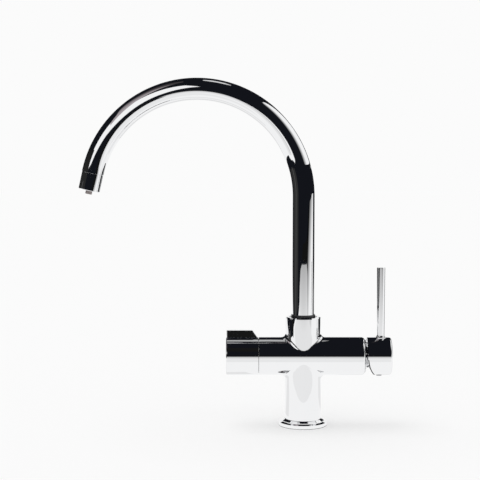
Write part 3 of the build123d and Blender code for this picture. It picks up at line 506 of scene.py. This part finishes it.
# the paper as the chrome shows it: on the left it reaches far to the front, and behind on the right it
# is cut back
card("paper_card", 0.99, lying(
    CARD_LIFT, (BACKDROP_LEFT, BACKDROP_Y), (-0.60, -0.20), (-0.64, -0.25), (-0.672, -0.35),
    (-0.67, -0.60), (-0.70, -1.0), (-0.62, -1.40), (-0.45, -1.53), (-0.38, -1.45), (-0.32, -1.26),
    (-0.259, -0.95), (-0.207, -0.763), (-0.160, -0.678), (-0.136, -0.589), (0.50, -0.589), (0.90, -0.45),
    (0.90, 0.20), (0.62, 0.26), (0.43, 0.36), (0.41, 0.60), (BACKDROP_RIGHT, BACKDROP_Y)))
# behind on the right, where the paper lies in shade: the grey streak beside the nozzle
card("back_right_shade", 0.26, lying(
    CARD_LIFT, (0.415, 0.62), (0.95, 0.62), (0.95, BACKDROP_Y), (BACKDROP_RIGHT, BACKDROP_Y)))
# a faint shade on the paper in front
card("front_shade", 0.895, lying(
    2 * CARD_LIFT, (-0.085, -0.380), (-0.245, -0.262), (-0.295, -0.165), (-0.275, -0.118),
    (-0.226, -0.122), (-0.185, -0.136), (-0.14, -0.148), (0.003, -0.143), (0.11, -0.146),
    (0.156, -0.137), (0.195, -0.137), (0.227, -0.150), (0.248, -0.18), (0.25, -0.22), (0.200, -0.300),
    (0.130, -0.368), (0.02, -0.395)))
# beside the column, where the paper is a little darker, for the grey along its edges
card("left_edge_shade", 0.86, lying(
    2 * CARD_LIFT, (-0.34, 0.06), (-0.20, 0.022), (-0.06, 0.0), (-0.05, 0.045), (-0.17, 0.110),
    (-0.34, 0.17)))
card("right_edge_shade", 0.87, lying(
    2 * CARD_LIFT, (0.04, 0.06), (0.16, 0.048), (0.30, 0.085), (0.32, 0.25), (0.13, 0.165), (0.05, 0.10)))
# the paper's far front, a little darker
card("front_edge_shade", 0.85, lying(
    3 * CARD_LIFT, (-0.60, -0.36), (-0.30, -0.36), (-0.15, -0.41), (0.15, -0.41), (0.30, -0.36),
    (0.52, -0.31), (0.52, -0.589), (-0.136, -0.589), (-0.207, -0.66), (-0.60, -0.66)))
# in front: a low grey card, lighter at its foot, whose top edge bounds the dark on the barrel
card("front_card", 0.84, across_y(
    FRONT_CARD_Y, (-0.56, 0.0), (0.55, 0.0), (0.54, 0.03), (0.52, 0.07), (0.47, 0.085), (0.38, 0.103),
    (0.25, 0.109), (0.12, 0.112), (-0.05, 0.1135), (-0.20, 0.110), (-0.36, 0.095), (-0.475, 0.061),
    (-0.52, 0.031)), fade={"along": UP, "start": 0.012, "end": 0.112, "to": 0.46})
# over its right half: a dark shelf that keeps it out of the bend's underside
card("dark_shelf", 0.0075, lying(
    SHELF_Z, (-0.10, -0.36), (-0.02, -0.343), (0.115, -0.315), (0.30, -0.315), (0.50, -0.62),
    (-0.10, -0.62)))
# before the fin: a dark flag that keeps its upright face black
card("fin_flag", 0.0095, across_y(
    FLAG_Y, (-0.09, 0.0885), (-0.045, 0.0885), (-0.045, 0.105), (-0.09, 0.105)))
# behind: the pale backdrop, a little wider than the camera's view
card("backdrop_card", 0.95, across_y(
    BACKDROP_Y, (BACKDROP_LEFT, 0.0), (BACKDROP_RIGHT, 0.0), (BACKDROP_RIGHT, BACKDROP_TOP),
    (BACKDROP_LEFT, BACKDROP_TOP)))
# behind, close: a narrow strip for the bright line along the top of the barrel, and a lid on it, pale
# because the bend's underside shows it
STRIP = ((-0.16, 0.036), (-0.03, 0.036), (0.0, 0.02), (0.02, 0.008), (0.028, 0.02), (0.036, 0.045),
         (0.041, 0.068), (0.02, 0.07), (0.0, 0.09), (-0.03, 0.106), (-0.16, 0.106))
card("back_strip", 0.34, lying(STRIP_Z, *STRIP),
     fade={"along": BACK, "start": 0.03, "end": 0.10, "to": 0.56})
card("back_strip_top", 0.82, lying(STRIP_Z + STRIP_THICKNESS, *STRIP))
# left: a dim wall low down, with a lighter upright strip before it
card("left_wall", 0.031, across_x(
    LEFT_WALL_X, (-0.50, 0.0), (0.60, 0.0), (0.60, 0.52), (-0.50, 0.52)),
    fade={"along": UP, "start": 0.22, "end": 0.52, "to": 0.012})
card("left_strip", 0.12, across_x(
    LEFT_STRIP_X, (-0.075, 0.0), (-0.020, 0.0), (-0.020, 0.35), (-0.075, 0.35)))
# right: a white card that fades towards its top and its front end, and a softbox high above it
card("right_card", 0.0, across_x(
    RIGHT_CARD_X, (-0.75, 0.0), (0.2, 0.0), (0.2, 0.235), (0.02, 0.233), (-0.05, 0.219), (-0.35, 0.205),
    (-0.56, 0.16), (-0.75, 0.08)),
    fade={"along": (0.0, 2.2, -6.0), "start": -1.88, "end": -0.88, "to": 0.98})
card("right_softbox", 0.03, across_x(
    RIGHT_SOFTBOX_X, (-0.74, 0.53), (1.02, 0.52), (1.10, 0.56), (1.21, 0.70), (1.31, 0.85), (1.42, 1.02),
    (1.45, 1.22), (1.10, 1.45), (0.6, 1.66), (0.1, 1.80), (-0.4, 1.84), (-0.74, 1.72)),
    fade={"along": BACK, "start": -0.72, "end": -0.05, "to": 1.0})
# left front softbox, high enough to show in the bend alone, and its warm glow on the wall beside it
card("left_softbox", 1.0, across_y(
    LEFT_SOFTBOX_Y, (-0.21, 0.40), (-0.27, 0.345), (-0.49, 0.43), (-0.9, 0.42), (-1.75, 0.55), (-2.1, 0.85),
    (-1.3, 1.6), (-0.25, 1.15), (-0.15, 0.83), (-0.13, 0.72), (-0.17, 0.60)))
card("left_glow", 0.40, across_x(
    LEFT_GLOW_X, (-1.1, 0.86), (-0.55, 0.92), (-0.38, 1.05), (0.0, 1.14), (0.12, 1.25), (0.22, 1.6),
    (0.30, 2.2), (0.30, 6.0), (-1.1, 6.0)),
    fade={"along": (0.0, 1.0, 0.45), "start": 0.0, "end": 0.85, "to": 0.05}, tint=WARM)
# overhead: one narrow panel, for the sliver on top of the bend
card("top_panel", 0.70, lying(
    PANEL_Z, (-0.103, -0.004), (-0.092, -0.008), (-0.072, -0.008), (-0.062, -0.003), (-0.062, 0.003),
    (-0.072, 0.008), (-0.092, 0.008), (-0.103, 0.004)))


# ---- lamp: wide and weak, from the upper left, for the soft shadow on the floor --------------------

LAMP_STRENGTH = 0.9
LAMP_WIDTH = 45.0             # degrees across, as the tap sees it
LAMP_PLACE = (-0.7, 0.25, 1.3)
LAMP_DIRECTION = (0.35, -0.10, -1.0)

lamp_data = bpy.data.lights.new("soft_lamp", "SUN")
lamp_data.energy = LAMP_STRENGTH
lamp_data.angle = math.radians(LAMP_WIDTH)
lamp = bpy.data.objects.new("soft_lamp", lamp_data)
lamp.location = LAMP_PLACE
lamp.rotation_mode = "QUATERNION"
lamp.rotation_quaternion = Vector(LAMP_DIRECTION).to_track_quat("-Z", "Y")
lamp.visible_glossy = False
scene.collection.objects.link(lamp)


# ---- camera --------------------------------------------------------------------------------------

CAMERA_PLACE = (-0.066, -1.300, 0.297)
CAMERA_TILT = 4.5             # degrees down from level
CAMERA_LENS = 94.0            # millimetres, with the sensor's width below
SENSOR_WIDTH = 36.0
NEAR_CLIP = 0.05
FAR_CLIP = 30.0

camera_data = bpy.data.cameras.new("camera")
camera_data.sensor_width = SENSOR_WIDTH
camera_data.lens = CAMERA_LENS
camera_data.clip_start = NEAR_CLIP
camera_data.clip_end = FAR_CLIP
camera = bpy.data.objects.new("camera", camera_data)
camera.location = CAMERA_PLACE
camera.rotation_euler = (math.radians(90.0 - CAMERA_TILT), 0.0, 0.0)
scene.collection.objects.link(camera)
scene.camera = camera
scene.view_settings.view_transform = "Standard"
